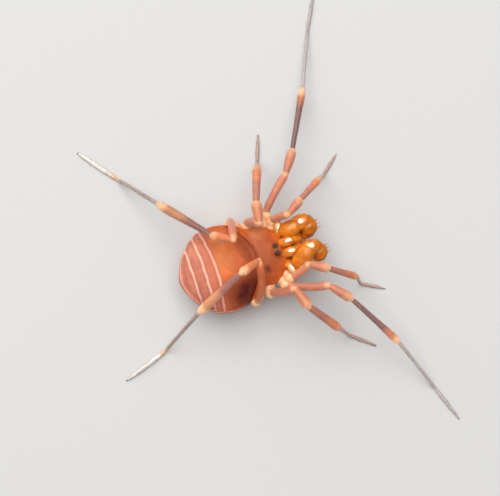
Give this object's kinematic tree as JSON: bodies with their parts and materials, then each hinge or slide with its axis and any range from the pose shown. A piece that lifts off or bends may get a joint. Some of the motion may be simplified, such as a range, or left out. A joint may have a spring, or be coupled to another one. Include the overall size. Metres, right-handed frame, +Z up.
{
  "type": "harvestman model",
  "caption": "Life-size still model of a short-legged harvestman: ridged oval body, folded spiny pedipalps, and bent legs spread wide on small foot flats.",
  "frame": {"origin": "on the floor, under the middle of the model's bounding box", "axes": "+X to the animal's left along the spread of the second pair of legs, +Y to its rear, +Z up; the animal faces -Y"},
  "size_m": [0.0234, 0.0156, 0.0048],
  "materials": {
    "carapace": "brownish orange cuticle, finely granular, slightly moist",
    "hind_body": "orange to salmon cuticle with pale lines between the plates, slightly moist",
    "eye": "black, glossy",
    "mouthparts": "amber, glossy and slightly translucent",
    "leg_femur": "salmon orange with pale joints, semi-matte",
    "leg_tibia": "greyish mauve that turns orange and yellow at the end, semi-matte",
    "leg_foot": "thin grey brown, paler at the tip, semi-matte"
  },
  "bodies": {
    "root": {"prosoma": "carapace", "opisthosoma": "hind_body", "eye_left": "eye", "eye_right": "eye", "chelicera_left": "mouthparts", "pedipalp_left_femur": "mouthparts", "pedipalp_left_tibia": "mouthparts", "chelicera_right": "mouthparts", "pedipalp_right_femur": "mouthparts", "pedipalp_right_tibia": "mouthparts", "leg_1_left_femur": "leg_femur", "leg_1_left_tibia": "leg_tibia", "leg_1_left_foot": "leg_foot", "leg_2_left_femur": "leg_femur", "leg_2_left_tibia": "leg_tibia", "leg_2_left_foot": "leg_foot", "leg_3_left_femur": "leg_femur", "leg_3_left_tibia": "leg_tibia", "leg_3_left_foot": "leg_foot", "leg_4_left_femur": "leg_femur", "leg_4_left_tibia": "leg_tibia", "leg_4_left_foot": "leg_foot", "leg_1_right_femur": "leg_femur", "leg_1_right_tibia": "leg_tibia", "leg_1_right_foot": "leg_foot", "leg_2_right_femur": "leg_femur", "leg_2_right_tibia": "leg_tibia", "leg_2_right_foot": "leg_foot", "leg_3_right_femur": "leg_femur", "leg_3_right_tibia": "leg_tibia", "leg_3_right_foot": "leg_foot", "leg_4_right_femur": "leg_femur", "leg_4_right_tibia": "leg_tibia", "leg_4_right_foot": "leg_foot"}
  },
  "joints": []
}
